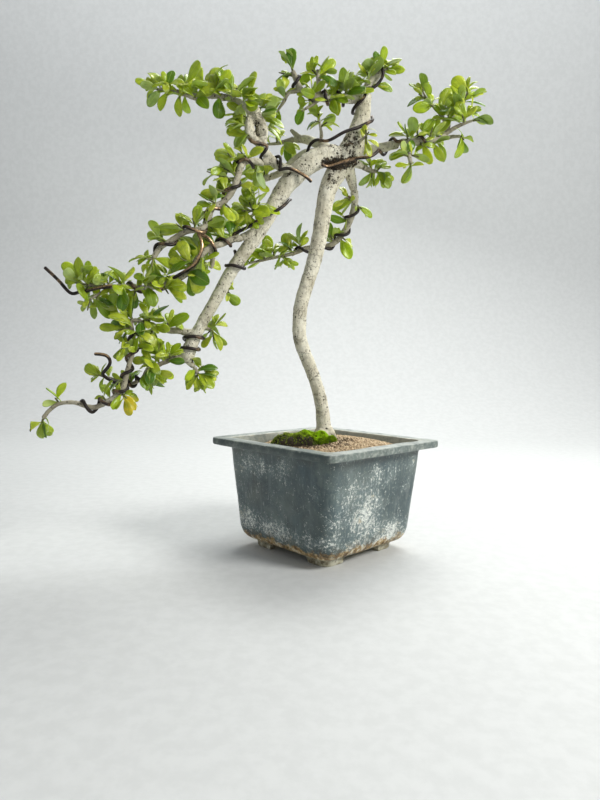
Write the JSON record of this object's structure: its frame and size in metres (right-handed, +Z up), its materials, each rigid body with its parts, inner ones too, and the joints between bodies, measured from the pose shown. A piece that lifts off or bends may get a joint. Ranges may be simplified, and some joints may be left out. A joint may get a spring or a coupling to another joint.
{
  "type": "potted bonsai tree",
  "caption": "Slanting, cascading Fukien tea bonsai with wired branches and small obovate leaves, in a square footed pot with soil and moss.",
  "frame": {"origin": "centre of the bounding box in X and Y, on the table plane under the feet", "axes": "+Z up, +X to the right as seen from the front, +Y to the back, across the depth"},
  "size_m": [0.3934, 0.2106, 0.4544],
  "materials": {
    "glaze_slate_blue": "weathered slate blue-grey glaze with pale mineral streaks",
    "soil_granules": "fine tan and pinkish grit with darker patches",
    "moss_green": "bright green cushion moss",
    "bark_grey_cream": "pale cream-grey bark with small dark pores",
    "leaf_green": "glossy yellow-green to deep green leaves on grey twigs",
    "wire_dark_copper": "dark oxidised copper with orange glints"
  },
  "bodies": {
    "root": {"pot": "glaze_slate_blue", "soil": "soil_granules", "moss": "moss_green", "tree_wood": "bark_grey_cream", "apex_shoot": "leaf_green", "top_left": "leaf_green", "upper_left": "leaf_green", "middle_upper": "leaf_green", "middle_lower": "leaf_green", "low_left": "leaf_green", "low_bough": "leaf_green", "right_branch": "leaf_green", "right_shade": "leaf_green", "back_drop": "leaf_green", "back_upper": "leaf_green", "back_lower": "leaf_green", "joint_leaf": "leaf_green", "crotch_twig": "leaf_green", "limb_side": "leaf_green", "limb_middle": "leaf_green", "limb_low": "leaf_green", "knob_twig": "leaf_green", "wire_long_branch": "wire_dark_copper", "wire_middle_branch": "wire_dark_copper", "wire_shoulder": "wire_dark_copper", "wire_joint": "wire_dark_copper", "wire_right_branch": "wire_dark_copper", "wire_apex": "wire_dark_copper", "wire_top": "wire_dark_copper", "wire_back": "wire_dark_copper", "wire_limb": "wire_dark_copper", "wire_knob": "wire_dark_copper", "wire_tail": "wire_dark_copper", "wire_hook": "wire_dark_copper"}
  },
  "joints": []
}
